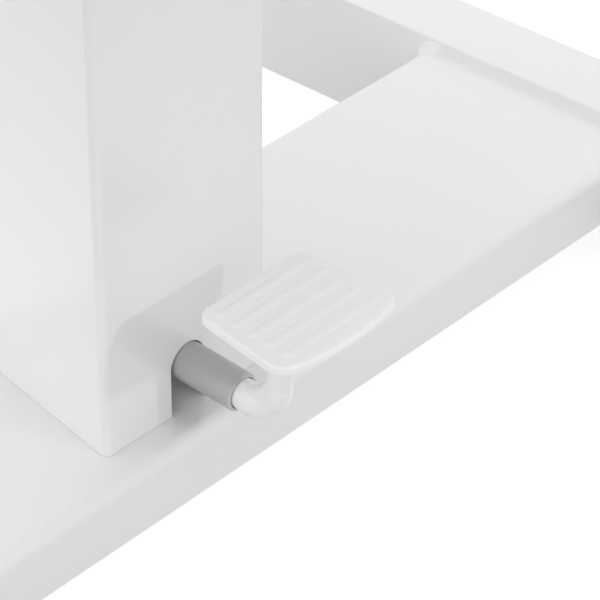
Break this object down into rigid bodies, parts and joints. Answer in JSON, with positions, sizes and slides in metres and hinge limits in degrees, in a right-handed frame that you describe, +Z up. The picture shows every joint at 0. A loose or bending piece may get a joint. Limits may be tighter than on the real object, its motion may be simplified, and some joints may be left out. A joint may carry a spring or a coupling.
{
  "type": "pedestal bath bench",
  "caption": "Height-adjustable bath bench: moulded seat with back and hand rail on a gas-spring column, released by a foot pedal, on an H-shaped steel base.",
  "frame": {"origin": "on the floor under the middle of the column", "axes": "+X along the cross beam to the hand rail's side, +Y from the pedal to the back, +Z up"},
  "size_m": [0.8204, 0.509, 0.8452],
  "materials": {
    "powder_white": "gloss white powder coat on pressed and welded steel",
    "cap_white": "moulded white plastic plug",
    "pedal_white": "semi-gloss moulded white plastic",
    "seat_white": "fine-grained moulded white plastic",
    "rubber": "dull dark rubber",
    "grip_grey": "soft grey grip",
    "satin_tube": "satin grey coated tube",
    "guide_grey": "hard grey guide plastic",
    "spring_black": "black enamel",
    "bright_steel": "ground bright steel",
    "zinc": "zinc-plated steel"
  },
  "bodies": {
    "base": {"cross_beam": "powder_white", "left_rail": "powder_white", "right_rail": "powder_white", "front_left_cap": "cap_white", "front_right_cap": "cap_white", "rear_left_cap": "cap_white", "rear_right_cap": "cap_white", "front_left_foot": "rubber", "front_right_foot": "rubber", "rear_left_foot": "rubber", "rear_right_foot": "rubber", "foot_studs": "zinc", "foot_nuts": "zinc", "beam_stiffener": "powder_white", "column_bolts": "zinc", "column_foot_plate": "powder_white", "outer_column": "powder_white", "guide_collar": "guide_grey", "release_bracket": "zinc", "bracket_screws": "zinc", "pivot_pin": "bright_steel", "pivot_clip": "bright_steel", "pivot_bushes": "guide_grey", "rod_nuts": "zinc", "gas_rod": "bright_steel", "gas_piston": "zinc", "piston_ring": "rubber"},
    "carriage": {"inner_column": "powder_white", "lower_glide": "guide_grey", "gas_cylinder": "spring_black", "rod_gland": "zinc", "spring_plate": "zinc", "spring_nut": "zinc", "seat_plate": "powder_white", "stop_buffers": "rubber", "plate_bolts": "zinc", "plate_nuts": "zinc", "front_frame_tube": "powder_white", "rear_frame_tube": "powder_white", "left_end_tube": "powder_white", "right_end_tube": "powder_white", "seat_board": "seat_white", "seat_screws": "zinc", "left_back_tube": "satin_tube", "right_back_tube": "satin_tube", "back_plugs": "cap_white", "back_panel": "seat_white", "back_screws": "zinc", "left_arm_sockets": "powder_white", "right_arm_sockets": "powder_white", "arm_rail": "satin_tube", "arm_grip": "grip_grey", "arm_knobs": "grip_grey"},
    "pedal": {"lever_tube": "satin_tube", "rocker_arm": "zinc", "rocker_rivet": "zinc", "pedal_pad": "pedal_white", "stem_rivet": "zinc"},
    "release": {"release_pin": "bright_steel"}
  },
  "joints": [
    {"name": "lift_slide", "type": "slide", "parent": "base", "child": "carriage", "axis": [0, 0, 1], "range_m": [0, 0.15]},
    {"name": "pedal_tilt", "type": "hinge", "parent": "base", "child": "pedal", "pos_m": [0, -0.017, 0.09804], "axis": [1, 0, 0], "range_deg": [0, 10], "stiffness_Nm_per_rad": 4, "springref_deg": -8.59},
    {"name": "release_pin_slide", "type": "slide", "parent": "base", "child": "release", "axis": [0, 0, 1], "range_m": [0, 0.0036]}
  ],
  "couplings": [
    {"joint": "release_pin_slide", "follows": "pedal_tilt", "m_per_rad": 0.019}
  ]
}
